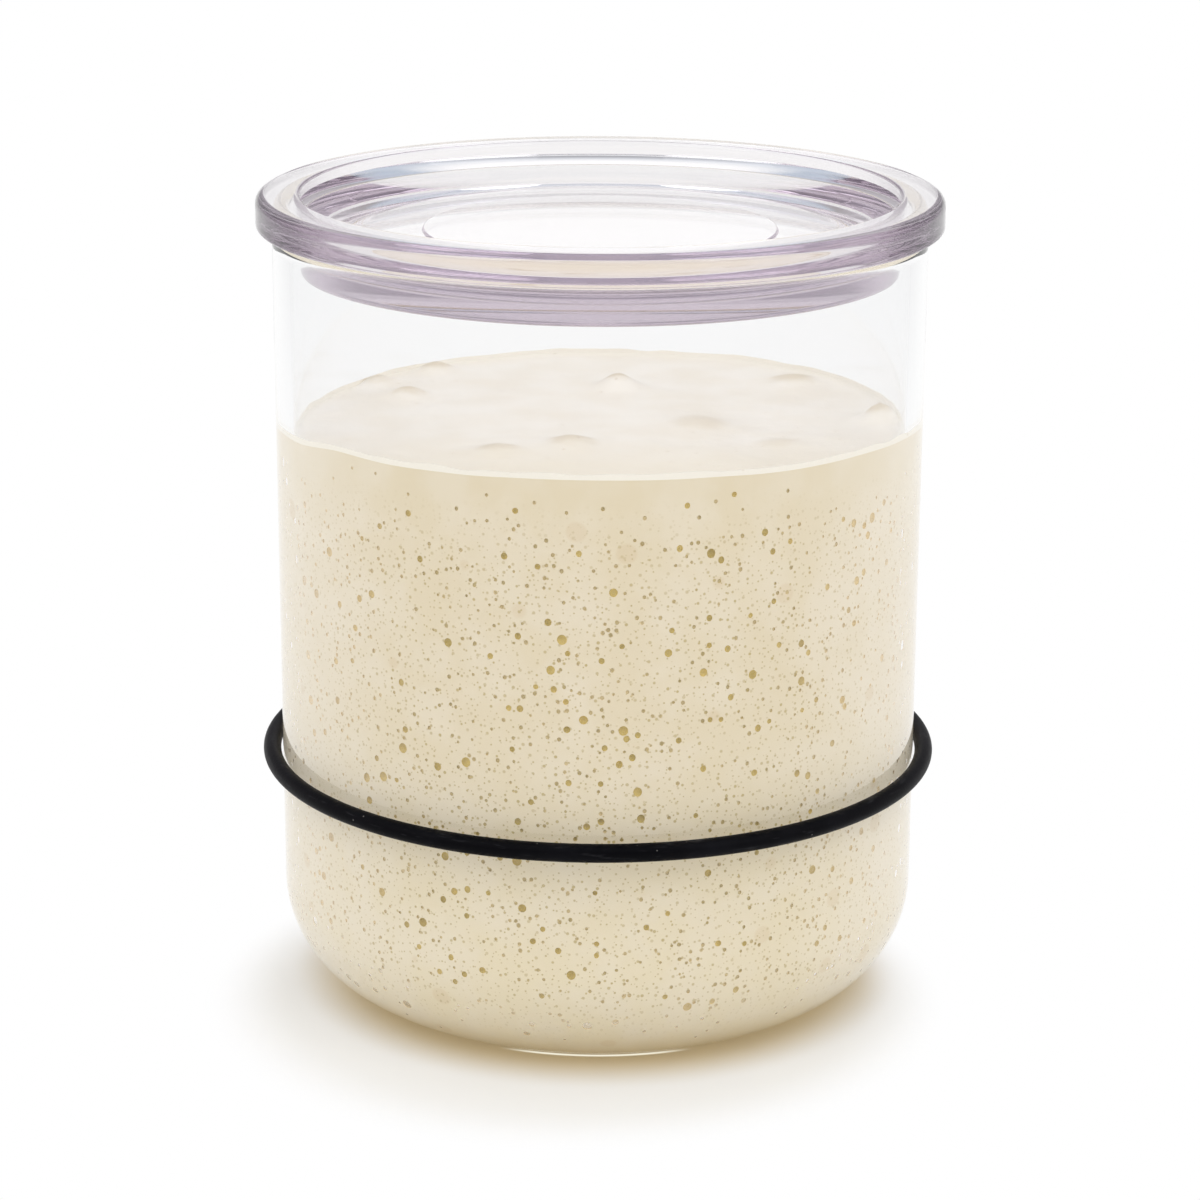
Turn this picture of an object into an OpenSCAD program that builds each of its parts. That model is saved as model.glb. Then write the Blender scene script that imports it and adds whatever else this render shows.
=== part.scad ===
// Straight-walled glass jar for a sourdough starter. A clear dished lid rests loose on the
// rim, a rubber band round the wall marks the level, and risen starter fills most of the jar.
// Millimetres, +Z up, origin at the middle of the base, on the table.

/* [Jar] */
// Outer diameter of the glass
jar_d = 90; // [80:1:120]
// Height of the rim above the table
jar_h = 109.4; // [100:0.2:160]
// Thickness of the wall
wall_t = 2.4; // [1.6:0.1:3.6]
// Thickness of the glass over the hollow under the bottom
floor_t = 3; // [2:0.1:5]
// Outer radius between the wall and the bottom
corner_r = 15.5; // [10:0.5:18]
// Radius between the wall and the bottom inside
inner_corner_r = 13; // [8:0.5:16]
// Diameter of the shallow hollow under the bottom
punt_d = 50; // [30:1:56]
// Depth of the shallow hollow under the bottom
punt_h = 0.6; // [0.2:0.1:1.2]

/* [Lid] */
// How far the lid reaches out past the glass
lid_overhang = 2.2; // [1:0.1:5]
// Height of the lid's rim, from its seat on the glass to its top
rim_h = 4.4; // [3.6:0.1:8]
// Width of the rim's top
rim_w = 6; // [4:0.1:10]
// Radius of the rim's outer edges
rim_edge_r = 0.9; // [0.3:0.1:1.5]
// Radius of the rim's inner edge
rim_inner_edge_r = 0.5; // [0.2:0.1:0.8]
// Height of the upright edge at the top of the dish
dish_edge_h = 1.5; // [1:0.1:2]
// How far the lid's plug reaches down into the jar
plug_h = 5.9; // [4:0.1:12]
// Gap between the plug and the inside of the glass, at the rim
plug_gap = 0.8; // [0.4:0.1:2]
// How much narrower the plug is at its lower edge, in radius
plug_taper = 0.7; // [0:0.1:2]
// Radius of the plug's lower edge
plug_edge_r = 0.4; // [0.2:0.1:1]
// Thickness of the lid's floor
lid_floor_t = 4.9; // [2:0.1:5.4]
// Radius of the flat part of the dish
dish_floor_r = 32.5; // [28:0.5:35]
// Diameter of the raised pad in the dish
pad_d = 48.6; // [30:0.2:54]
// Height of the raised pad
pad_h = 0.35; // [0.2:0.05:0.6]
// Gap between the lid's seat and the rim of the glass
seat_gap = 0.1; // [0.05:0.05:0.3]

/* [Marker band] */
// Thickness of the band's round cord
cord_d = 2.5; // [1.5:0.1:5]
// Gap between the cord and the glass
band_gap = 0.25; // [0.1:0.05:0.5]
// Height of the cord's middle above the table
band_z = 34.5; // [25:0.5:70]

/* [Starter] */
// Height of the starter's edge on the glass
fill_h = 84.3; // [60:0.1:86]
// How far the middle of the surface lies below that edge
fill_sag = 2.6; // [1:0.1:5]
// Gap between the starter and the glass
fill_gap = 0.15; // [0.05:0.05:0.3]

/* [Hidden] */
$fn = 96;

jar_r = jar_d / 2;
bore_r = jar_r - wall_t;
inside_z = punt_h + floor_t;

seat_z = jar_h + seat_gap;
lid_r = jar_r + lid_overhang;
plug_top_r = bore_r - plug_gap;
plug_r = plug_top_r - plug_taper;
plug_z = seat_z - plug_h;
dish_z = plug_z + lid_floor_t;
lid_top = seat_z + rim_h;
dish_r = lid_r - rim_w;
// The hollow curve that rises from the dish's floor to its upright edge
cove_w = dish_r - dish_floor_r;
cove_h = lid_top - dish_edge_h - dish_z;
cove_r = (cove_w * cove_w + cove_h * cove_h) / (2 * cove_h);

band_r = jar_r + band_gap + cord_d / 2;

fill_r = bore_r - fill_gap;
fill_corner_r = inner_corner_r - fill_gap;
fill_z = inside_z + fill_gap;
fill_mid_z = fill_h - fill_sag;
// The radius of the ball whose surface makes the sagging top of the starter
fill_ball_r = (fill_r * fill_r + fill_sag * fill_sag) / (2 * fill_sag);

// Low swellings on the starter: [x, y, radius of the ball, height above the surface]
SWELLS = [
    [2, 14, 10, 1.6],
    [-27, 8, 9, 1.3],
    [-24, 21, 8, 1.1],
    [-14, -16, 9, 1.2],
    [-4, -13, 8, 1.0],
    [27, 16, 8, 1.0],
    [20, -12, 9, 0.9],
];

// Half outline of a pot that is round at its lower corner
module pot_outline(r, low, high, corner) {
    translate([0, low])
        square([r - corner, high - low]);
    translate([0, low + corner])
        square([r, high - low - corner]);
    translate([r - corner, low + corner])
        circle(corner);
}

module glass_jar() {
    color("aliceblue", 0.35)
    rotate_extrude() {
        difference() {
            pot_outline(jar_r, 0, jar_h - wall_t / 2, corner_r);
            pot_outline(bore_r, inside_z, jar_h, inner_corner_r);
            // Shallow hollow, with its edge rounded into the ring that the jar stands on
            translate([0, -punt_h])
                square([punt_d / 2 - punt_h, 2 * punt_h]);
            translate([punt_d / 2 - punt_h, 0])
                circle(punt_h);
        }
        // Rounded rim
        translate([bore_r + wall_t / 2, jar_h - wall_t / 2])
            circle(d = wall_t);
    }
}

module rim_and_plug_outline() {
    // Rim, with its outer edges rounded
    translate([0, seat_z])
        square([lid_r - rim_edge_r, rim_h]);
    translate([0, seat_z + rim_edge_r])
        square([lid_r, rim_h - 2 * rim_edge_r]);
    for (z = [seat_z + rim_edge_r, lid_top - rim_edge_r])
        translate([lid_r - rim_edge_r, z])
            circle(rim_edge_r);
    // Plug that hangs into the jar and narrows downwards, with its lower edge rounded
    polygon([
        [0, plug_z],
        [plug_r - plug_edge_r, plug_z],
        [plug_r, plug_z + plug_edge_r],
        [plug_top_r, seat_z],
        [0, seat_z],
    ]);
    translate([plug_r - plug_edge_r, plug_z + plug_edge_r])
        circle(plug_edge_r);
}

module dish_outline() {
    translate([0, dish_z])
        square([dish_floor_r, lid_top]);
    intersection() {
        translate([dish_floor_r, dish_z + cove_r])
            circle(cove_r);
        square([dish_r, 2 * lid_top]);
    }
    translate([0, lid_top - dish_edge_h])
        square([dish_r, lid_top]);
    // Room for the rounding of the rim's inner edge
    translate([0, lid_top - rim_inner_edge_r])
        square([dish_r + rim_inner_edge_r, lid_top]);
}

module lid() {
    color("thistle", 0.5)
    rotate_extrude() {
        difference() {
            rim_and_plug_outline();
            dish_outline();
        }
        translate([dish_r + rim_inner_edge_r, lid_top - rim_inner_edge_r])
            circle(rim_inner_edge_r);
        // Raised pad in the middle of the dish
        translate([0, dish_z - pad_h])
            square([pad_d / 2, 2 * pad_h]);
    }
}

module marker_band() {
    color("black")
    translate([0, 0, band_z])
    rotate_extrude()
        translate([band_r, 0])
            circle(d = cord_d);
}

module sourdough_starter() {
    color("antiquewhite") {
        rotate_extrude()
            difference() {
                pot_outline(fill_r, fill_z, fill_h, fill_corner_r);
                translate([0, fill_mid_z + fill_ball_r])
                    circle(fill_ball_r, $fn = 720);
            }
        for (s = SWELLS)
            translate([s[0], s[1], surface_z(norm([s[0], s[1]])) + s[3] - s[2]])
                sphere(s[2]);
    }
}

// Height of the sagging surface at a distance from the middle
function surface_z(r) = fill_mid_z + fill_ball_r - sqrt(fill_ball_r * fill_ball_r - r * r);

glass_jar();
lid();
marker_band();
sourdough_starter();
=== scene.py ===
"""Looks of a sourdough starter jar.

The pieces are clear glass, a faintly violet lid, a black rubber ring and risen starter. Objects
are in metres, +Z up, with the origin in the middle of the base. Sizes of the pieces are written
in millimetres. They follow the CAD model, apart from some roundings and the starter's surface.
"""

import math
import random

import bmesh
import bpy
from mathutils import Matrix, Vector, noise


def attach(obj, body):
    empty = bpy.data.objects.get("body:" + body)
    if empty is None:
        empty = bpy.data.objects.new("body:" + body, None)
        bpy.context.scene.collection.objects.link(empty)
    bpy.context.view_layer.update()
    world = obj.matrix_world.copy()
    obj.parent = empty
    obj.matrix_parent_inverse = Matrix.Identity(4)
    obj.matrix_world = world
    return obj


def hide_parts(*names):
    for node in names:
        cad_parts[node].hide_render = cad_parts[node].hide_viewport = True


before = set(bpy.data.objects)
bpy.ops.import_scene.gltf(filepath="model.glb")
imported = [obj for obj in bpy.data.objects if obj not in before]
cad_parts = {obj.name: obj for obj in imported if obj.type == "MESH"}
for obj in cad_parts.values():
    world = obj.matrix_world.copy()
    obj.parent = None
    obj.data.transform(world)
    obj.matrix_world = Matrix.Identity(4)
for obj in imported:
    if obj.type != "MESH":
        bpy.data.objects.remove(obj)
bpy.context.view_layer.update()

MM = 0.001
# Sides of every turned piece
SEGMENTS = 256
# Seed of the bubbles' places
SEED = 11
# How often a ray may bounce in the glass and the lid
BOUNCES = 24

# Glass
JAR_R = 45.0
JAR_H = 109.4
WALL_T = 2.4
GLASS_RIM_H = 2.2
BORE_R = JAR_R - WALL_T
CORNER_R = 15.5
INNER_CORNER_R = 13.0
PUNT_R = 25.0
PUNT_H = 0.6
INSIDE_Z = PUNT_H + 3.0
GLASS_IOR = 1.47

# Lid
SEAT_Z = JAR_H + 0.1
LID_R = 47.2
LID_TOP = SEAT_Z + 4.4
RIM_TOP_EDGE_R = 1.35
RIM_LOW_EDGE_R = 0.4
RIM_INNER_EDGE_R = 0.5
DISH_R = LID_R - 6.0
DISH_EDGE_H = 1.5
DISH_FLOOR_R = 32.5
PLUG_TOP_R = BORE_R - 0.8
PLUG_R = PLUG_TOP_R - 0.7
PLUG_Z = SEAT_Z - 5.9
PLUG_EDGE_R = 0.9
SEAT_INNER_EDGE_R = 0.2
DISH_Z = PLUG_Z + 4.9
PAD_R = 24.3
PAD_H = 0.35
PAD_EDGE_R = 0.15
LID_IOR = 1.55
VIOLET_DENSITY = 16.0

# Rubber ring
CORD_R = 1.25
BAND_R = JAR_R + 0.25 + CORD_R
BAND_Z = 34.5

# Starter: it reaches a little into the glass, as a wet dough that clings to it does
CLING = 0.08
SURFACE_Z = 81.7
WALL_CORNER_Z = INSIDE_Z + INNER_CORNER_R
# Height of the dough's edge on the glass, at degrees from the front, counted to the right
EDGE_HEIGHTS = [
    (-180, 81.6),
    (-95, 81.1),
    (-68, 82.4),
    (-50, 83.7),
    (0, 84.1),
    (50, 83.5),
    (90, 82.3),
    (180, 81.6),
]
EDGE_WOBBLE = 0.25
# The film on the glass: its height over the dough's edge, how much that varies, and how far
# its top, its foot and the edge of the open surface lie in from the glass
FILM_H = 0.75
FILM_WAVE = 0.3
FILM_T = 0.1
FILM_FOOT = 0.35
SURFACE_GAP = 0.9
SURFACE_RINGS = 36
# Swellings on the surface: x, y, width and height
SWELLS = [
    (2.7, 19.2, 2.8, 1.9),
    (-33.0, 23.0, 2.8, 1.3),
    (-27.8, 14.1, 3.0, 1.4),
    (-24.6, 30.2, 2.8, 1.5),
    (-13.5, -18.7, 3.2, 1.0),
    (-3.9, -14.2, 3.4, 1.2),
    (28.6, 22.4, 3.8, 1.3),
    (14.0, -3.0, 4.5, 0.8),
    (24.0, -14.0, 3.0, 0.5),
    (39.4, -0.5, 2.4, 2.4),
]

# Bubbles on the glass: how many are wanted, and their smallest and largest radius
BUBBLE_KINDS = [(130, 0.50, 0.66), (430, 0.33, 0.48), (2600, 0.2, 0.31)]
LARGE_BUBBLE_R = 0.5
MIDDLE_BUBBLE_R = 0.32
# Least wall between two bubbles, lowest bubble, and room left under the dough's edge
BUBBLE_GAP = 0.12
BUBBLES_LOW_Z = 5.0
BUBBLES_UNDER_EDGE = 1.2
TRIES_PER_BUBBLE = 40
# Side of the cells in which near bubbles are looked up
BUBBLE_CELL = 1.6
# How far a bowl's last ring and its closing point stand out of the wall that it is cut from
BOWL_LIP_H = 0.06
BOWL_CAP_H = 0.15

# Camera, fitted to the edges of the glass, the lid and the ring in the photograph
FRAME_PX = 1200
FOCAL_PX = 3523.5
MIDDLE_X_PX = 598.6
SENSOR_MM = 36.0
CAMERA_PITCH = 0.290
CAMERA_ROLL = math.radians(0.26)
CAMERA_Y = -478.8
CAMERA_Z = 198.1

# Lamps: name, side and energy, then how soft they are and how they slant, in degrees
LAMPS = [("left", -1, 0.49), ("right", 1, 0.55)]
LAMP_SOFTNESS = 40
LAMP_TILT = 30
LAMP_TURN = 46


def arc(centre_r, centre_z, radius, start, end, steps):
    """Points of an arc in the half plane, from the start angle to the end angle in degrees."""
    angles = [math.radians(start + (end - start) * i / steps) for i in range(steps + 1)]
    return [(centre_r + radius * math.cos(a), centre_z + radius * math.sin(a)) for a in angles]


def rounded(outline, steps=8):
    """The outline (r, z, corner radius) as points, with each corner rounded by its radius."""
    points = []
    for i, (r, z, corner) in enumerate(outline):
        here = Vector((r, z))
        if corner <= 0 or i in (0, len(outline) - 1):
            points.append((r, z))
            continue
        back = (Vector(outline[i - 1][:2]) - here).normalized()
        ahead = (Vector(outline[i + 1][:2]) - here).normalized()
        half = math.acos(max(-1.0, min(1.0, back.dot(ahead)))) / 2
        centre = here + (back + ahead).normalized() * corner / math.sin(half)
        first = here + back * corner / math.tan(half) - centre
        last = here + ahead * corner / math.tan(half) - centre
        turn = first.angle(last)
        for step in range(steps + 1):
            share = step / steps
            spoke = first * math.sin((1 - share) * turn) + last * math.sin(share * turn)
            points.append(tuple(centre + spoke / math.sin(turn)))
    return points


def braced(points, longest=1.5, reach=0.1):
    """The outline with a point close to each end of every run that is longer than longest.

    Smooth shading then bends only near the ends of a straight run, so clear pieces stay true.
    """
    out = [points[0]]
    for start, end in zip(points, points[1:]):
        length = math.dist(start, end)
        if length > longest:
            for share in (reach / length, 1 - reach / length):
                out.append(tuple(a + (b - a) * share for a, b in zip(start, end)))
        out.append(end)
    return out


def add_mesh(name, vertices, faces):
    """A smooth-shaded object from points in millimetres, with its normals turned outwards."""
    mesh = bpy.data.meshes.new(name)
    mesh.from_pydata([tuple(c * MM for c in v) for v in vertices], [], faces)
    mesh.validate()
    shape = bmesh.new()
    shape.from_mesh(mesh)
    bmesh.ops.recalc_face_normals(shape, faces=shape.faces)
    shape.to_mesh(mesh)
    shape.free()
    for face in mesh.polygons:
        face.use_smooth = True
    piece = bpy.data.objects.new(name, mesh)
    bpy.context.scene.collection.objects.link(piece)
    return piece


def lathe(name, rings, closed=False):
    """Turns rings (radius, height) about the axis. A height may be a function of the angle."""
    on_axis = 1e-6
    vertices, loops, faces = [], [], []
    for radius, height in rings:
        count = 1 if radius < on_axis else SEGMENTS
        loops.append(list(range(len(vertices), len(vertices) + count)))
        for k in range(count):
            angle = 2 * math.pi * k / SEGMENTS
            z = height(angle) if callable(height) else height
            vertices.append((radius * math.cos(angle), radius * math.sin(angle), z))
    pairs = list(zip(loops, loops[1:])) + ([(loops[-1], loops[0])] if closed else [])
    for low, high in pairs:
        for k in range(SEGMENTS):
            after = (k + 1) % SEGMENTS
            corners = ((low, k), (high, k), (high, after), (low, after))
            faces.append(list(dict.fromkeys(loop[i % len(loop)] for loop, i in corners)))
    return add_mesh(name, vertices, [f for f in faces if len(f) > 2])


def keep_edges_crisp(piece, degrees):
    piece.data.set_sharp_from_angle(angle=math.radians(degrees))


def new_material(name):
    material = bpy.data.materials.new(name)
    material.use_nodes = True
    material.node_tree.nodes.clear()
    return material, material.node_tree


def add(tree, kind, inputs=None, **settings):
    """Adds a node. Inputs are given by name or number, as a value or as a node's output."""
    made = tree.nodes.new(kind)
    for key, value in settings.items():
        setattr(made, key, value)
    for key, value in (inputs or {}).items():
        socket = made.inputs[key]
        if isinstance(value, bpy.types.NodeSocket):
            tree.links.new(value, socket)
        elif socket.type == "RGBA":
            socket.default_value = (*value, 1)
        else:
            socket.default_value = value
    return made


def calc(tree, operation, a, b=0.0, c=0.0):
    return add(tree, "ShaderNodeMath", {0: a, 1: b, 2: c}, operation=operation).outputs[0]


def product(tree, first, *others):
    """All the values multiplied together."""
    for other in others:
        first = calc(tree, "MULTIPLY", first, other)
    return first


def fade(tree, value, start, end):
    """0 at start, 1 at end, smooth between them."""
    inputs = {"Value": value, "From Min": start, "From Max": end}
    made = add(tree, "ShaderNodeMapRange", inputs, interpolation_type="SMOOTHSTEP")
    return made.outputs[0]


def spread(tree, value, low, high):
    """The value, which goes from 0 to 1, as one that goes from low to high."""
    inputs = {"Value": value, "To Min": low, "To Max": high}
    return add(tree, "ShaderNodeMapRange", inputs).outputs[0]


def blend(tree, share, a, b):
    """The colour a, turning to b as share goes from 0 to 1."""
    return add(tree, "ShaderNodeMix", {0: share, 6: a, 7: b}, data_type="RGBA").outputs[2]


def mix_shaders(tree, share, a, b):
    """The shader a, turning to b as share goes from 0 to 1."""
    return add(tree, "ShaderNodeMixShader", {0: share, 1: a, 2: b}).outputs[0]


def place(tree):
    """The point on the piece, in metres, as a vector and as its x, y and z."""
    point = add(tree, "ShaderNodeTexCoord").outputs["Object"]
    split = add(tree, "ShaderNodeSeparateXYZ", {0: point})
    return point, split.outputs["X"], split.outputs["Y"], split.outputs["Z"]


def radius_of(tree, x, y):
    """Distance from the axis, in metres."""
    squares = calc(tree, "ADD", calc(tree, "MULTIPLY", x, x), calc(tree, "MULTIPLY", y, y))
    return calc(tree, "SQRT", squares)


def unrolled(tree, x, y, z, radius_mm, along=1.0):
    """The point on a round wall laid out flat, in metres, its way round scaled by along."""
    way_round = product(tree, calc(tree, "ARCTAN2", y, x), radius_mm * MM * along)
    return add(tree, "ShaderNodeCombineXYZ", {0: way_round, 1: z}).outputs[0]


def noise_at(tree, point, size_mm, detail=2.0):
    inputs = {"Vector": point, "Scale": 1 / (size_mm * MM), "Detail": detail}
    return add(tree, "ShaderNodeTexNoise", inputs).outputs["Fac"]


def spots(tree, point, spacing_mm, radius_mm, share, smallest, softness, dimensions="3D"):
    """Round spots, each with its own size: 1 inside them and 0 outside.

    A share of the Voronoi cells has a spot, from smallest times the radius up to the radius.
    The second result is a random number of each spot.
    """
    inputs = {"Vector": point, "Scale": 1 / (spacing_mm * MM)}
    cells = add(tree, "ShaderNodeTexVoronoi", inputs, voronoi_dimensions=dimensions)
    luck = add(tree, "ShaderNodeSeparateColor", {0: cells.outputs["Color"]}).outputs
    largest = radius_mm / spacing_mm
    size = spread(tree, luck[1], smallest * largest, largest)
    inside = calc(tree, "SUBTRACT", size, cells.outputs["Distance"])
    shown = calc(tree, "LESS_THAN", luck[0], share)
    return product(tree, fade(tree, inside, start=-softness, end=0.05), shown), luck[2]


def lamp_clear(tree, shader, pass_colour):
    """Lets rays from lamps, and light thrown back by dull surfaces, straight through."""
    path = add(tree, "ShaderNodeLightPath")
    straight = add(tree, "ShaderNodeBsdfTransparent", {"Color": pass_colour}).outputs[0]
    for ray in ("Is Shadow Ray", "Is Diffuse Ray"):
        shader = mix_shaders(tree, path.outputs[ray], shader, straight)
    return shader


def any_ray(tree, names):
    """1 on rays of any of these kinds."""
    path = add(tree, "ShaderNodeLightPath")
    share = path.outputs[names[0]]
    for name in names[1:]:
        share = calc(tree, "MAXIMUM", share, path.outputs[name])
    return share


def glass_material():
    """Clear soda glass, with the faint waves and the few smears of a used jar."""
    material, tree = new_material("clear_glass")
    point, _, _, _ = place(tree)
    smears = fade(tree, noise_at(tree, point, size_mm=30, detail=4), start=0.52, end=0.8)
    wave = add(tree, "ShaderNodeBump", {
        "Height": noise_at(tree, point, size_mm=26), "Strength": 0.02, "Distance": 0.4 * MM,
    })
    clear = add(tree, "ShaderNodeBsdfPrincipled", {
        "Base Color": (0.971, 0.973, 0.976),
        "Roughness": product(tree, smears, 0.03),
        "IOR": GLASS_IOR,
        "Transmission Weight": 1.0,
        "Normal": wave.outputs[0],
    }).outputs[0]
    surface = lamp_clear(tree, clear, pass_colour=(0.98, 0.98, 0.98))
    add(tree, "ShaderNodeOutputMaterial", {"Surface": surface})
    return material


def lid_material():
    """Clear plastic that is faintly violet through its thickness, with fine scuffs."""
    clear_tint, pad_tint, violet = (0.965, 0.962, 0.958), (0.94, 0.936, 0.93), (0.66, 0.55, 0.66)
    material, tree = new_material("violet_clear_plastic")
    point, x, y, _ = place(tree)
    scuffs = fade(tree, noise_at(tree, point, size_mm=9, detail=5), start=0.55, end=0.85)
    on_pad = calc(tree, "LESS_THAN", radius_of(tree, x, y), PAD_R * MM)
    clear = add(tree, "ShaderNodeBsdfPrincipled", {
        "Base Color": blend(tree, on_pad, clear_tint, pad_tint),
        "Roughness": product(tree, scuffs, 0.05),
        "IOR": LID_IOR,
        "Transmission Weight": 1.0,
    }).outputs[0]
    surface = lamp_clear(tree, clear, pass_colour=(1, 1, 1))
    absorb = {"Color": violet, "Density": VIOLET_DENSITY}
    tint = add(tree, "ShaderNodeVolumeAbsorption", absorb).outputs[0]
    add(tree, "ShaderNodeOutputMaterial", {"Surface": surface, "Volume": tint})
    return material


def rubber_material():
    """Matt black rubber with a fine grain, lighter streaks along the cord that are scuffs and
    painted sheen, and specks of dust.
    """
    black, bloomed = (0.002, 0.002, 0.003), (0.005, 0.005, 0.007)
    streak_sheen_grey, dust = (0.024, 0.024, 0.027), (0.22, 0.21, 0.20)
    material, tree = new_material("matt_black_rubber")
    point, x, y, z = place(tree)
    grain = noise_at(tree, point, size_mm=0.35, detail=3)
    drawn_out = unrolled(tree, x, y, z, BAND_R, along=0.12)
    streaks_and_sheen = noise_at(tree, drawn_out, size_mm=0.5, detail=3)
    cells = add(tree, "ShaderNodeTexVoronoi", {"Vector": point, "Scale": 1 / (1.3 * MM)})
    chance = add(tree, "ShaderNodeSeparateColor", {0: cells.outputs["Color"]}).outputs[0]
    speck = fade(tree, cells.outputs["Distance"], start=0.12, end=0.05)
    speck = product(tree, speck, fade(tree, chance, start=0.80, end=0.82), 0.6)
    bloom = fade(tree, noise_at(tree, point, size_mm=7, detail=4), start=0.45, end=0.75)
    colour = blend(tree, bloom, black, bloomed)
    # Lighter streaks along the cord: scuffs, and painted sheen
    colour = blend(tree, fade(tree, streaks_and_sheen, start=0.58, end=0.8), colour, streak_sheen_grey)
    colour = blend(tree, speck, colour, dust)
    relief = {"Height": grain, "Strength": 0.25, "Distance": 0.1 * MM}
    rubber = add(tree, "ShaderNodeBsdfPrincipled", {
        "Base Color": colour,
        "Roughness": spread(tree, grain, low=0.34, high=0.54),
        "Specular IOR Level": 0.05,
        "Normal": add(tree, "ShaderNodeBump", relief).outputs[0],
    }).outputs[0]
    add(tree, "ShaderNodeOutputMaterial", {"Surface": rubber})
    return material


def wall_pores(tree, flat, spacing_mm, radius_mm, share):
    """Tiny bubbles against the glass, as dots of painted shade, each with its own strength."""
    shape = {"smallest": 0.5, "softness": 0.03, "dimensions": "2D"}
    spot, luck = spots(tree, flat, spacing_mm, radius_mm, share, **shape)
    return product(tree, spot, spread(tree, luck, low=0.45, high=1.0))


def wall_material():
    """Starter seen against the glass: cream, yellower lower down, paler to the left and right as
    painted light, with tiny bubbles as golden dots of painted shade.
    """
    cream, low_cream = (0.76, 0.655, 0.46), (0.80, 0.70, 0.49)
    pale, side_light_cream = (0.83, 0.75, 0.61), (0.86, 0.80, 0.69)
    dimple_shade_brown, pore_shade_gold = (0.62, 0.44, 0.22), (0.46, 0.34, 0.10)
    material, tree = new_material("starter_wall")
    point, x, y, z = place(tree)
    colour = blend(tree, fade(tree, z, start=60 * MM, end=6 * MM), cream, low_cream)
    mottle = fade(tree, noise_at(tree, point, size_mm=7, detail=3), start=0.35, end=0.7)
    colour = blend(tree, product(tree, mottle, 0.4), colour, pale)
    # Paler to the left and the right: painted light
    side = fade(tree, calc(tree, "ABSOLUTE", x), start=22 * MM, end=43 * MM)
    colour = blend(tree, product(tree, side, 0.5), colour, side_light_cream)
    # Soft darker spots: painted shade of faint dimples in the wall
    soft = {"smallest": 0.45, "softness": 0.02}
    dimple_shade, _ = spots(tree, point, spacing_mm=7.0, radius_mm=1.5, share=0.6, **soft)
    colour = blend(tree, product(tree, dimple_shade, 0.22), colour, dimple_shade_brown)
    flat = unrolled(tree, x, y, z, BORE_R)
    # Tiny bubbles as golden dots: painted shade inside their hollows
    coarse = wall_pores(tree, flat, spacing_mm=1.3, radius_mm=0.24, share=0.8)
    fine = wall_pores(tree, flat, spacing_mm=0.9, radius_mm=0.14, share=0.7)
    crowd = fade(tree, noise_at(tree, point, size_mm=12), start=0.15, end=0.42)
    under_edge = fade(tree, z, start=83 * MM, end=70 * MM)
    above_bottom = fade(tree, z, start=4 * MM, end=14 * MM)
    # The bubbles are fainter to the left and the right: painted light
    strength = calc(tree, "MULTIPLY_ADD", side, -0.45, 0.78)
    pores = calc(tree, "MAXIMUM", coarse, fine)
    pores = product(tree, pores, crowd, under_edge, above_bottom, strength)
    colour = blend(tree, pores, colour, pore_shade_gold)
    dough = add(tree, "ShaderNodeBsdfPrincipled", {"Base Color": colour, "Roughness": 0.5})
    add(tree, "ShaderNodeOutputMaterial", {"Surface": dough.outputs[0]})
    return material


def top_material():
    """The starter's moist open surface: paler, darker on its swellings (browner skin and painted
    shade), with pinholes in painted shade.
    """
    cream, pale = (0.91, 0.845, 0.735), (0.95, 0.90, 0.815)
    front_cream, film_cream = (0.88, 0.79, 0.62), (0.91, 0.86, 0.755)
    skin_and_shade_brown, hole_shade_brown = (0.72, 0.61, 0.44), (0.62, 0.50, 0.34)
    material, tree = new_material("starter_top")
    point, x, y, _ = place(tree)
    mottle = fade(tree, noise_at(tree, point, size_mm=9, detail=4), start=0.3, end=0.7)
    colour = blend(tree, mottle, cream, pale)
    front = fade(tree, y, start=-4 * MM, end=-36 * MM)
    colour = blend(tree, product(tree, front, 0.8), colour, front_cream)
    film_start, film_end = (BORE_R - 1.6) * MM, (BORE_R - 0.3) * MM
    film = fade(tree, radius_of(tree, x, y), film_start, film_end)
    colour = blend(tree, film, colour, film_cream)
    # The noise makes the outlines of the darker skin and painted shade on the swellings uneven
    ragged = calc(tree, "SUBTRACT", noise_at(tree, point, size_mm=4, detail=3), 0.5)
    ragged = product(tree, ragged, 3.5 * MM)
    for centre_x, centre_y, width, height in SWELLS:
        off_x = calc(tree, "SUBTRACT", x, centre_x * MM)
        off_y = calc(tree, "SUBTRACT", y, (centre_y + 0.2 * width) * MM)
        away = calc(tree, "ADD", radius_of(tree, off_x, off_y), ragged)
        skin_and_shade = fade(tree, away, start=1.15 * width * MM, end=0.4 * width * MM)
        colour = blend(tree, product(tree, skin_and_shade, min(0.75, 0.55 * height)), colour, skin_and_shade_brown)
    soft = {"smallest": 0.45, "softness": 0.02}
    # Pinholes: dents in the bump, painted darker as the shade in them
    holes, _ = spots(tree, point, spacing_mm=1.8, radius_mm=0.25, share=0.5, **soft)
    faint_holes = product(tree, holes, 0.4)
    colour = blend(tree, faint_holes, colour, hole_shade_brown)
    lumps = noise_at(tree, point, size_mm=3.5, detail=4)
    height = calc(tree, "SUBTRACT", lumps, faint_holes)
    relief = {"Height": height, "Strength": 0.35, "Distance": 0.6 * MM}
    dough = add(tree, "ShaderNodeBsdfPrincipled", {
        "Base Color": colour,
        "Roughness": 0.36,
        "Normal": add(tree, "ShaderNodeBump", relief).outputs[0],
    })
    add(tree, "ShaderNodeOutputMaterial", {"Surface": dough.outputs[0]})
    return material


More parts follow.
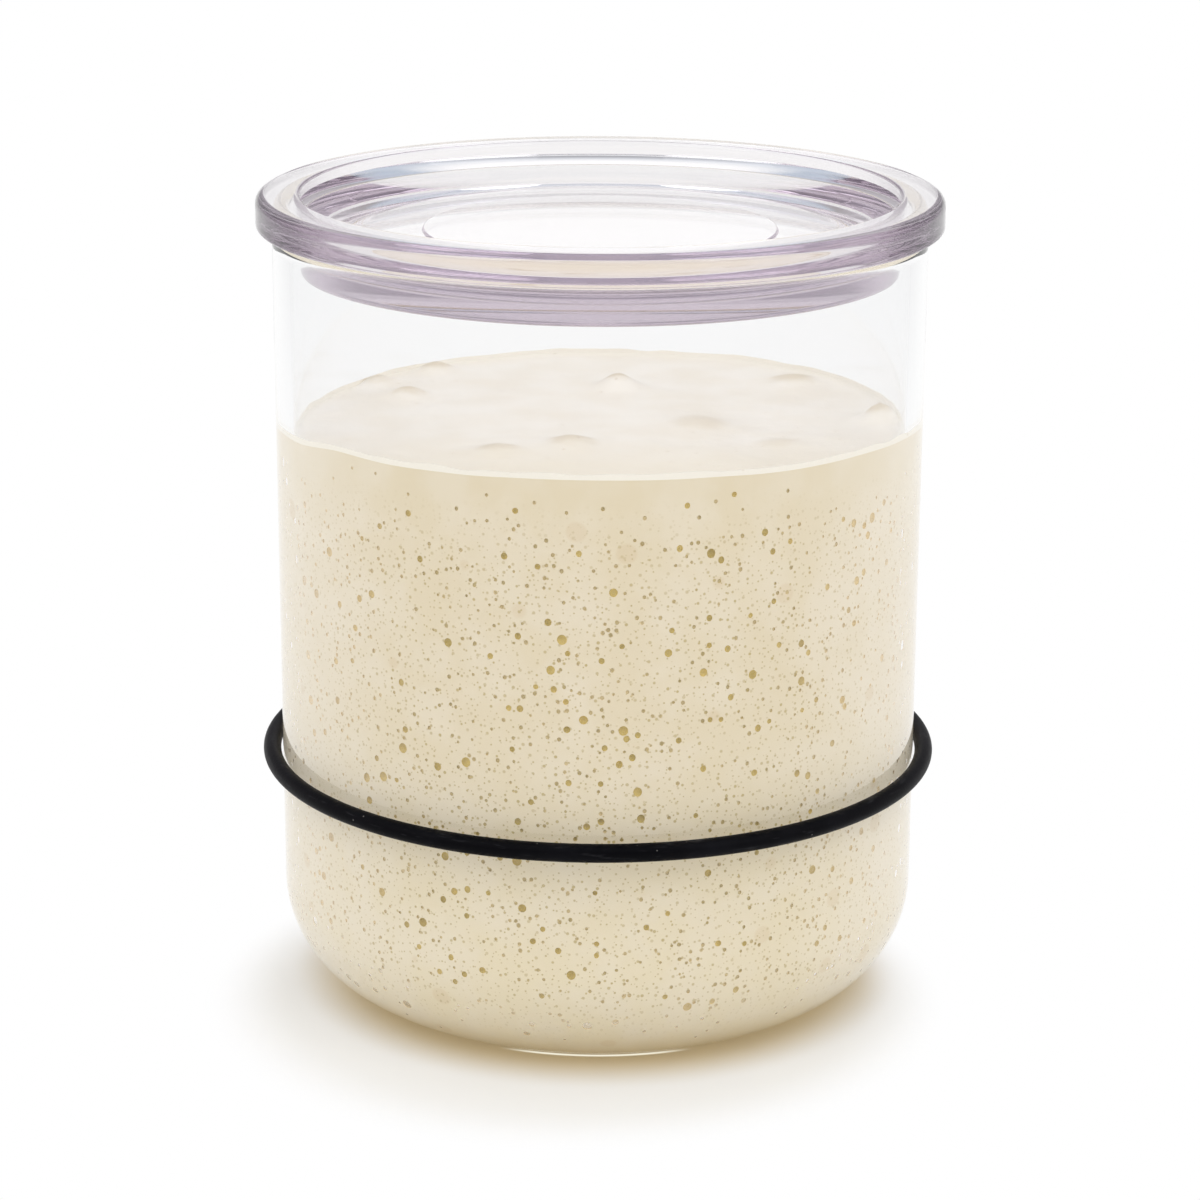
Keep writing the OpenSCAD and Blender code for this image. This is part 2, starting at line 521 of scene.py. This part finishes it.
def pit_material(name, dark, light):
    """The hollow of a bubble on the glass, painted golden brown as shade in it, paler at the sides
    as painted light, and paler low down.
    """
    faint_gold = (0.93, 0.76, 0.52)
    material, tree = new_material(name)
    point, x, _, z = place(tree)
    tone = fade(tree, noise_at(tree, point, size_mm=3), start=0.3, end=0.7)
    colour = blend(tree, tone, dark, light)
    # Paler towards the left and the right: painted light; paler low down as well
    side = fade(tree, calc(tree, "ABSOLUTE", x), start=20 * MM, end=40 * MM)
    faint = calc(tree, "MAXIMUM", side, fade(tree, z, start=16 * MM, end=5 * MM))
    colour = blend(tree, product(tree, faint, 0.6), colour, faint_gold)
    dough = add(tree, "ShaderNodeBsdfPrincipled", {
        "Base Color": colour, "Roughness": 0.4, "Specular IOR Level": 0.15,
    })
    add(tree, "ShaderNodeOutputMaterial", {"Surface": dough.outputs[0]})
    return material


def make_jar():
    """The glass, turned from its outline: under the bottom, up outside, down inside."""
    outline = [(0, PUNT_H), (PUNT_R - PUNT_H, PUNT_H)]
    outline += arc(PUNT_R - PUNT_H, 0, PUNT_H, 90, 0, steps=8)[1:]
    outline += arc(JAR_R - CORNER_R, CORNER_R, CORNER_R, -90, 0, steps=28)
    # The rim is half an ellipse: a half circle across the wall, stretched upwards
    half_t = WALL_T / 2
    rim = arc(BORE_R + half_t, 0, half_t, 0, 180, steps=16)
    outline += [(r, JAR_H - GLASS_RIM_H + z * GLASS_RIM_H / half_t) for r, z in rim]
    inner_middle = BORE_R - INNER_CORNER_R
    outline += arc(inner_middle, WALL_CORNER_Z, INNER_CORNER_R, 0, -90, steps=28)
    outline += [(0, INSIDE_Z)]
    jar = lathe("glass_jar_body", braced(outline))
    keep_edges_crisp(jar, degrees=35)
    jar.data.materials.append(glass_material())
    return jar


def make_lid():
    """The lid: a solid plug under a flat rim, with a dish that has a curved side and a pad."""
    cove_w = DISH_R - DISH_FLOOR_R
    cove_h = LID_TOP - DISH_EDGE_H - DISH_Z
    cove_r = (cove_w * cove_w + cove_h * cove_h) / (2 * cove_h)
    cove_turn = math.degrees(math.asin(cove_w / cove_r))
    cove = arc(DISH_FLOOR_R, DISH_Z + cove_r, cove_r, cove_turn - 90, -90, steps=24)
    outline = [
        (0, PLUG_Z, 0),
        (PLUG_R, PLUG_Z, PLUG_EDGE_R),
        (PLUG_TOP_R, SEAT_Z, SEAT_INNER_EDGE_R),
        (LID_R, SEAT_Z, RIM_LOW_EDGE_R),
        (LID_R, LID_TOP, RIM_TOP_EDGE_R),
        (DISH_R, LID_TOP, RIM_INNER_EDGE_R),
    ]
    outline += [(r, z, 0) for r, z in cove]
    outline += [
        (PAD_R + PAD_EDGE_R, DISH_Z, PAD_EDGE_R / 2),
        (PAD_R, DISH_Z + PAD_H, PAD_EDGE_R),
        (0, DISH_Z + PAD_H, 0),
    ]
    lid = lathe("lid_body", braced(rounded(outline)))
    keep_edges_crisp(lid, degrees=35)
    lid.data.materials.append(lid_material())
    return lid


def make_band():
    cord = arc(BAND_R, BAND_Z, CORD_R, 0, 360, steps=32)[:-1]
    band = lathe("marker_band_cord", cord, closed=True)
    band.data.materials.append(rubber_material())
    return band


def noise_round(angle, waves, layer):
    """Smooth noise round the jar: more waves make it finer, and each layer is a new pattern."""
    return noise.noise(Vector((math.cos(angle) * waves, math.sin(angle) * waves, layer)))


def edge_height(angle):
    """Height of the dough's edge on the glass, at an angle from +X."""
    turn = (math.degrees(angle) + 90 + 180) % 360 - 180
    for (a, low), (b, high) in zip(EDGE_HEIGHTS, EDGE_HEIGHTS[1:]):
        if a <= turn <= b:
            share = (turn - a) / (b - a)
            share = share * share * (3 - 2 * share)
            level = low + (high - low) * share
    return level + EDGE_WOBBLE * noise_round(angle, waves=4, layer=2.0)


def film_height(angle):
    """How far the film on the glass stands above the dough's edge."""
    return FILM_H + FILM_WAVE * noise_round(angle, waves=9, layer=7.0)


def top_height(x, y):
    """Height of the open surface: level in the middle, drawn up to its edge on the glass."""
    level = SURFACE_Z
    broad, fine = (0.5, 14, 0.0), (0.16, 4.5, 5.0)
    for height, size, layer in (broad, fine):
        level += height * noise.noise(Vector((x / size, y / size, layer)))
    draw = (math.hypot(x, y) / BORE_R) ** 6
    level = level * (1 - draw) + edge_height(math.atan2(y, x)) * draw
    for centre_x, centre_y, width, height in SWELLS:
        away = (x - centre_x) ** 2 + (y - centre_y) ** 2
        level += height * math.exp(-away / (width * width))
    return level


def starter_rings():
    """The starter's rings, from the middle of its bottom up the wall and over its top.

    The second result is the number of rings before the top begins.
    """
    outer = BORE_R + CLING
    rings = [(r, INSIDE_Z - CLING) for r in (0, 10.0, 20.0)]
    corner_middle, corner_r = BORE_R - INNER_CORNER_R, INNER_CORNER_R + CLING
    rings += arc(corner_middle, WALL_CORNER_Z, corner_r, -90, 0, steps=16)
    low, rises = WALL_CORNER_Z, 12
    for i in range(1, rises + 1):
        share = i / rises
        rings.append((outer, lambda a, s=share: low + (edge_height(a) - low) * s))
    top_start = len(rings)
    for r, film_share in ((outer, 1.0), (BORE_R - FILM_T, 1.0), (BORE_R - FILM_FOOT, 0.3)):
        rings.append((r, lambda a, s=film_share: edge_height(a) + s * film_height(a)))
    for i in range(SURFACE_RINGS):
        r = (BORE_R - SURFACE_GAP) * (1 - i / SURFACE_RINGS)
        rings.append((r, lambda a, r=r: top_height(r * math.cos(a), r * math.sin(a))))
    rings.append((0, lambda a: top_height(0, 0)))
    return rings, top_start


def bubble_crowd(angle, z, top):
    """Chance that a bubble drawn here is kept.

    It is patchy, and falls over the last 8 mm up to the edge and the last 7 mm down.
    """
    patches = 0.85 + 0.5 * noise_round(angle, waves=3, layer=z / 12)
    near_edge = min(1.0, (top - z) / 9 + 0.12)
    near_bottom = min(1.0, (z - BUBBLES_LOW_Z) / 8 + 0.1)
    return patches * (near_edge * near_bottom)


def bubble_sites(rng):
    """Bubbles on the wall that keep clear of each other: angle, height, radius, large first."""
    around = int(2 * math.pi * BORE_R / BUBBLE_CELL)
    taken, sites = {}, []
    for count, smallest, largest in BUBBLE_KINDS:
        made = tries = 0
        while made < count and tries < TRIES_PER_BUBBLE * count:
            tries += 1
            angle = rng.uniform(-math.pi, math.pi)
            top = edge_height(angle) - BUBBLES_UNDER_EDGE
            z = rng.uniform(BUBBLES_LOW_Z, top)
            if rng.random() > bubble_crowd(angle, z, top):
                continue
            radius = rng.uniform(smallest, largest)
            column = int((angle + math.pi) / (2 * math.pi) * around)
            row = int(z / BUBBLE_CELL)
            cells = [((column + i) % around, row + j) for i in (-1, 0, 1) for j in (-1, 0, 1)]
            near = [site for cell in cells for site in taken.get(cell, ())]
            gaps = [math.hypot((angle - a) * BORE_R, z - h) - (radius + r) for a, h, r in near]
            if gaps and min(gaps) <= BUBBLE_GAP:
                continue
            taken.setdefault((column, row), []).append((angle, z, radius))
            sites.append((angle, z, radius))
            made += 1
    return sites


def wall_foot(angle, z):
    """The point of the starter's wall at this angle and height, and the way out of the wall."""
    out = Vector((math.cos(angle), math.sin(angle), 0))
    if z >= WALL_CORNER_Z:
        return out * (BORE_R + CLING) + Vector((0, 0, z)), out
    corner_r = INNER_CORNER_R + CLING
    middle = out * (BORE_R - INNER_CORNER_R) + Vector((0, 0, WALL_CORNER_Z))
    lean = math.asin(min(1.0, (WALL_CORNER_Z - z) / corner_r))
    level = math.cos(lean)
    out = Vector((math.cos(angle) * level, math.sin(angle) * level, -math.sin(lean)))
    return middle + out * corner_r, out


def bubble_shape(radius):
    """Sides and rings that a bubble of this radius needs."""
    for least, sides, rings in ((LARGE_BUBBLE_R, 18, 3), (MIDDLE_BUBBLE_R, 11, 2)):
        if radius >= least:
            return sides, rings
    return 7, 1


def bowl_points(foot, out, side, radius, depth, stretch):
    """Points of a closed bowl: its deepest point, its rings and a point over its mouth."""
    sides, rings = bubble_shape(radius)
    rise = out.cross(side)
    points = [foot - out * depth]
    for ring in range(1, rings + 2):
        share = ring / (rings + 0.6)
        # The last ring stands just out of the wall and is a little wider
        flare, lip = (1.0, 0.0) if share <= 1 else (1.02, BOWL_LIP_H)
        turn = min(share, 1.0) * math.pi / 2
        reach = radius * math.sin(turn) * flare
        height = lip - depth * math.cos(turn)
        for k in range(sides):
            angle = 2 * math.pi * k / sides
            flat = side * math.cos(angle) * reach + rise * math.sin(angle) * reach * stretch
            points.append(foot + out * height + flat)
    return points + [foot + out * BOWL_CAP_H]


def bowl_faces(first, sides, rings):
    """Faces of a bowl whose points start at the number first."""
    faces = []
    cap = first + 1 + (rings + 1) * sides
    for k in range(sides):
        after = (k + 1) % sides
        faces.append((first, first + 1 + after, first + 1 + k))
        for ring in range(rings):
            start = first + 1 + ring * sides
            faces.append((start + k, start + after, start + sides + after, start + sides + k))
        start = first + 1 + rings * sides
        faces.append((cap, start + k, start + after))
    return faces


def bubble_cutter(sites, rng):
    """One mesh of closed bowls, each lying in the wall with its mouth just outside it."""
    vertices, faces, small_faces = [], [], []
    for angle, z, radius in sites:
        foot, out = wall_foot(angle, z)
        side = Vector((-math.sin(angle), math.cos(angle), 0))
        stretch = rng.uniform(1.0, 1.18)
        depth = radius * rng.uniform(0.7, 1.0)
        new_faces = bowl_faces(len(vertices), *bubble_shape(radius))
        vertices += bowl_points(foot, out, side, radius, depth, stretch)
        faces += new_faces
        small_faces += [radius < MIDDLE_BUBBLE_R] * len(new_faces)
    cutter = add_mesh("bubble_cutter", vertices, faces)
    # The hollows' golden brown is painted shade, on top of the real shade of the cut bowls
    large_pit = pit_material("starter_bubble", (0.50, 0.37, 0.085), (0.69, 0.53, 0.16))
    small_pit = pit_material("starter_small_bubble", (0.52, 0.405, 0.165), (0.68, 0.55, 0.29))
    cutter.data.materials.append(large_pit)
    cutter.data.materials.append(small_pit)
    for face, small in zip(cutter.data.polygons, small_faces):
        face.material_index = 1 if small else 0
    return cutter


def cut(piece, cutter):
    """Takes the cutter out of the piece; the new faces keep the cutter's material."""
    step = piece.modifiers.new("cut", "BOOLEAN")
    step.operation = "DIFFERENCE"
    step.solver = "MANIFOLD"
    step.object = cutter
    step.material_mode = "TRANSFER"
    evaluated = piece.evaluated_get(bpy.context.evaluated_depsgraph_get())
    shaped = bpy.data.meshes.new_from_object(evaluated)
    piece.modifiers.clear()
    piece.data = shaped
    bpy.data.objects.remove(cutter)


def make_starter():
    """The starter: wall and open surface turned in one, then the bubbles cut out of it."""
    rng = random.Random(SEED)
    rings, top_start = starter_rings()
    starter = lathe("sourdough_starter_body", rings)
    starter.data.materials.append(wall_material())
    starter.data.materials.append(top_material())
    for face in starter.data.polygons:
        face.material_index = 1 if face.index // SEGMENTS >= top_start - 1 else 0
    cut(starter, bubble_cutter(bubble_sites(rng), rng))
    keep_edges_crisp(starter, degrees=40)
    return starter


def add_camera():
    """The photograph's viewpoint: a long lens a little above the jar."""
    lens = bpy.data.cameras.new("camera")
    lens.sensor_width = SENSOR_MM
    lens.lens = FOCAL_PX / FRAME_PX * SENSOR_MM
    lens.shift_x = (FRAME_PX / 2 - MIDDLE_X_PX) / FRAME_PX
    camera = bpy.data.objects.new("camera", lens)
    aim = Matrix.Rotation(math.pi / 2 - CAMERA_PITCH, 4, "X") @ Matrix.Rotation(CAMERA_ROLL, 4, "Z")
    camera.matrix_world = Matrix.Translation((0, CAMERA_Y * MM, CAMERA_Z * MM)) @ aim
    bpy.context.scene.collection.objects.link(camera)
    bpy.context.scene.camera = camera


def floor_material():
    """White floor: it keeps the jar's shadow close round it and is plain white farther out."""
    white, shade_white, warm_painted_shadow = (1, 1, 1), (0.93, 0.93, 0.93), (0.66, 0.55, 0.355)
    side_grey, line_colour = (0.82, 0.82, 0.83), (0.95, 0.91, 0.74)
    material, tree = new_material("white_floor")
    _, x, y, _ = place(tree)
    radius = radius_of(tree, x, y)
    # Under the jar the floor is painted darker and warm: painted shadow, warm as the light is that
    # has come through the starter
    under_jar = fade(tree, radius, start=45 * MM, end=34 * MM)
    colour = blend(tree, under_jar, shade_white, warm_painted_shadow)
    shaded = add(tree, "ShaderNodeBsdfDiffuse", {"Color": colour}).outputs[0]
    # Seen through the glass, the far sides of the floor are grey and draw the glass's edges
    far_side = fade(tree, calc(tree, "ABSOLUTE", x), start=0.15, end=0.50)
    through = product(tree, far_side, any_ray(tree, ("Is Transmission Ray",)))
    glow = {"Color": blend(tree, through, white, side_grey), "Strength": 1.0}
    plain = add(tree, "ShaderNodeEmission", glow).outputs[0]
    # The shadow reaches a little farther to the front and the left
    shifted = radius_of(tree, calc(tree, "ADD", x, 3 * MM), calc(tree, "ADD", y, 11 * MM))
    seen = any_ray(tree, ("Is Camera Ray", "Is Glossy Ray", "Is Transmission Ray"))
    share = product(tree, seen, fade(tree, shifted, start=40 * MM, end=53 * MM))
    surface = mix_shaders(tree, share, shaded, plain)
    # The thin line of light that the clear bottom throws on the floor at the front
    off_line = calc(tree, "ABSOLUTE", calc(tree, "SUBTRACT", radius, 33.5 * MM))
    line = fade(tree, off_line, start=0.5 * MM, end=0.05 * MM)
    line = product(tree, line, fade(tree, y, start=-30.7 * MM, end=-32.8 * MM))
    gleam = add(tree, "ShaderNodeEmission", {"Color": line_colour, "Strength": 1.0}).outputs[0]
    surface = mix_shaders(tree, line, surface, gleam)
    add(tree, "ShaderNodeOutputMaterial", {"Surface": surface})
    return material


def add_floor():
    """A floor of 8 m square, which isn't part of the object."""
    half = 4000
    corners = [(-half, -half, 0), (half, -half, 0), (half, half, 0), (-half, half, 0)]
    floor = add_mesh("floor", corners, [(0, 1, 2, 3)])
    floor.data.materials.append(floor_material())


def studio_ramp(tree, climb):
    """The studio's tone by height: pale low down, grey, a blue band, and white overhead."""
    pale, grey, dark = (0.87, 0.87, 0.87), (0.54, 0.52, 0.55), (0.40, 0.38, 0.38)
    blue, white = (0.56, 0.64, 0.74), (1.0, 1.0, 1.0)
    # Places on the ramp, where 0 is straight down, 0.5 the horizon and 1 straight up
    stops = [
        (0.0, pale),
        (0.507, pale),
        (0.54, grey),
        (0.70, grey),
        (0.80, dark),
        (0.83, blue),
        (0.89, blue),
        (0.96, white),
    ]
    whole_range = {"Value": climb, "From Min": -1.0, "From Max": 1.0}
    on_ramp = add(tree, "ShaderNodeMapRange", whole_range).outputs[0]
    ramp = add(tree, "ShaderNodeValToRGB", {0: on_ramp})
    bar = ramp.color_ramp
    bar.elements.remove(bar.elements[-1])
    for i, (position, colour) in enumerate(stops):
        stop = bar.elements[0] if i == 0 else bar.elements.new(position)
        stop.position = position
        stop.color = (*colour, 1)
    return ramp.outputs[0]


def facing(tree, way, towards):
    """1 where the way points towards this direction, 0 across it and -1 against it."""
    made = add(tree, "ShaderNodeVectorMath", {0: way, 1: towards}, operation="DOT_PRODUCT")
    return made.outputs["Value"]


def add_world():
    """White to the camera, even light on dull surfaces, and a studio for clear and glossy ones."""
    white, window_white = (1, 1, 1), (1.15, 1.15, 1.15)
    front_dark, side_pale = (0.34, 0.32, 0.36), (0.95, 0.90, 0.95)
    light_back, light_front = (0.96, 0.96, 0.96), (0.70, 0.70, 0.70)
    world = bpy.data.worlds.new("studio")
    bpy.context.scene.world = world
    world.use_nodes = True
    tree = world.node_tree
    tree.nodes.clear()
    way = add(tree, "ShaderNodeTexCoord").outputs["Generated"]
    split = add(tree, "ShaderNodeSeparateXYZ", {0: way})
    across, climb = calc(tree, "ABSOLUTE", split.outputs["X"]), split.outputs["Z"]
    to_front = facing(tree, way, (0, -1, 0))
    studio = studio_ramp(tree, climb)
    # Two round windows behind the jar: their rise, outer and inner radius, in degrees
    for rise, outer, inner in ((11, 7, 3), (47, 9, 4)):
        rise = math.radians(rise)
        match = facing(tree, way, (0, math.cos(rise), math.sin(rise)))
        start, end = math.cos(math.radians(outer)), math.cos(math.radians(inner))
        studio = blend(tree, fade(tree, match, start, end), studio, window_white)
    # A dark wall on the side of the camera, which ends well below the top
    off_horizon = fade(tree, climb, start=0.02, end=0.12)
    below_top = fade(tree, climb, start=0.75, end=0.5)
    in_front = fade(tree, to_front, start=0.0, end=0.5)
    studio = blend(tree, product(tree, in_front, off_horizon, below_top), studio, front_dark)
    # Pale walls to the left and the right
    at_side = fade(tree, across, start=0.6, end=0.8)
    not_in_front = fade(tree, to_front, start=0.4, end=0.1)
    above_floor = fade(tree, climb, start=0.0, end=0.1)
    studio = blend(tree, product(tree, at_side, not_in_front, above_floor), studio, side_pale)
    even = blend(tree, fade(tree, to_front, start=-0.1, end=0.9), light_back, light_front)
    clear_rays = any_ray(tree, ("Is Glossy Ray", "Is Transmission Ray"))
    colour = blend(tree, clear_rays, even, studio)
    colour = blend(tree, any_ray(tree, ("Is Camera Ray",)), colour, white)
    light = add(tree, "ShaderNodeBackground", {"Color": colour, "Strength": 1.0}).outputs[0]
    add(tree, "ShaderNodeOutputWorld", {"Surface": light})


def add_lamps():
    """Two broad soft lamps, above the jar to the left and to the right."""
    for name, side, energy in LAMPS:
        light = bpy.data.lights.new(name, "SUN")
        light.energy = energy
        light.angle = math.radians(LAMP_SOFTNESS)
        lamp = bpy.data.objects.new(name, light)
        lamp.rotation_euler = (math.radians(LAMP_TILT), side * math.radians(LAMP_TURN), 0)
        bpy.context.scene.collection.objects.link(lamp)


def dress(piece, body, node):
    """Puts a piece on its body, in place of its node."""
    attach(piece, body)
    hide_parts(node)


add_camera()
dress(make_jar(), "jar", "glass_jar")
dress(make_lid(), "lid", "lid")
dress(make_band(), "marker_band", "marker_band")
dress(make_starter(), "jar", "sourdough_starter")
add_floor()
add_world()
add_lamps()
bpy.context.scene.view_settings.view_transform = "Standard"
bpy.context.scene.cycles.max_bounces = BOUNCES
bpy.context.scene.cycles.transmission_bounces = BOUNCES
bpy.context.scene.cycles.glossy_bounces = BOUNCES
bpy.context.scene.cycles.transparent_max_bounces = BOUNCES
